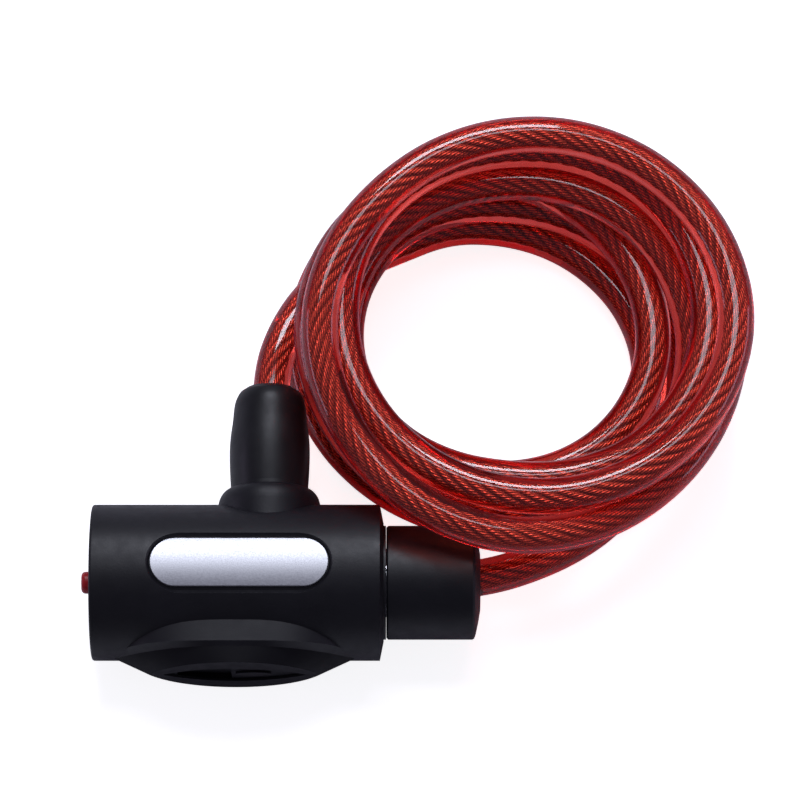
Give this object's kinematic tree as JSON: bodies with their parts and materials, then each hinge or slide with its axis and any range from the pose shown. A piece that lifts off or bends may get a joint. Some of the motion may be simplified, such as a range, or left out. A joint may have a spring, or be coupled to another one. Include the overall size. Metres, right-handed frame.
{
  "type": "cable luggage lock",
  "caption": "Keyed cable lock for luggage: a black barrel with a plug that enters its end, a key face under a sliding cover, and a coiled red steel cable.",
  "frame": {"origin": "middle of the lock's underside, without its cable", "axes": "+X along the barrel towards the plug, +Y towards the cable's fixed end, +Z towards the name plate"},
  "size_m": [0.1464, 0.1286, 0.042],
  "materials": {
    "satin_black": "moulded black ABS, satin, fine grain",
    "soft_black": "soft black PVC boot, satin",
    "zinc_casting": "die-cast zinc, as cast",
    "steel": "zinc-plated turned steel",
    "bright_steel": "nickel-plated steel",
    "spring_wire": "drawn spring wire",
    "brass": "machined brass",
    "plate_metal": "satin aluminium sheet",
    "red_plastic": "red plastic, semi-gloss",
    "seal_rubber": "black nitrile",
    "cable_sheath": "clear dark red PVC over twisted steel wire, glossy"
  },
  "bodies": {
    "lock_body": {"outer_jacket": "satin_black", "end_cap": "satin_black", "case_front": "zinc_casting", "case_back": "zinc_casting", "case_rivets": "steel", "socket_bushing": "steel", "cylinder_housing": "brass", "chamber_cover": "brass", "driver_pins": "brass", "pin_springs": "spring_wire", "name_plate": "plate_metal", "cable_boot": "soft_black", "fixed_ferrule": "steel", "ferrule_pin": "steel", "key_bezel": "satin_black", "button_spring": "spring_wire", "cable_coil": "cable_sheath", "cable_fixed_end": "cable_sheath", "cable_plug_end": "cable_sheath"},
    "plug": {"plug_cap": "satin_black", "plug_pin": "bright_steel", "plug_seal": "seal_rubber", "plug_ferrule": "steel"},
    "key_plug": {"key_core": "brass", "key_pins": "brass", "core_clip": "steel", "tail_cam": "steel", "latch_post": "steel"},
    "cover": {"dust_cover": "satin_black"},
    "button": {"red_button": "red_plastic", "button_rod": "steel"}
  },
  "joints": [
    {"name": "plug_pull", "type": "slide", "parent": "lock_body", "child": "plug", "axis": [1, 0, 0], "range_m": [0, 0.026], "deforming": ["cable_plug_end"]},
    {"name": "key_turn", "type": "hinge", "parent": "lock_body", "child": "key_plug", "pos_m": [0.00895, -0.0116, 0.017], "axis": [0, 1, 0], "range_deg": [0, 90]},
    {"name": "cover_slide", "type": "slide", "parent": "lock_body", "child": "cover", "axis": [-1, 0, 0], "range_m": [0, 0.0115]},
    {"name": "button_press", "type": "slide", "parent": "lock_body", "child": "button", "axis": [1, 0, 0], "range_m": [0, 0.002], "stiffness_N_per_m": 300, "deforming": ["button_spring"]}
  ]
}
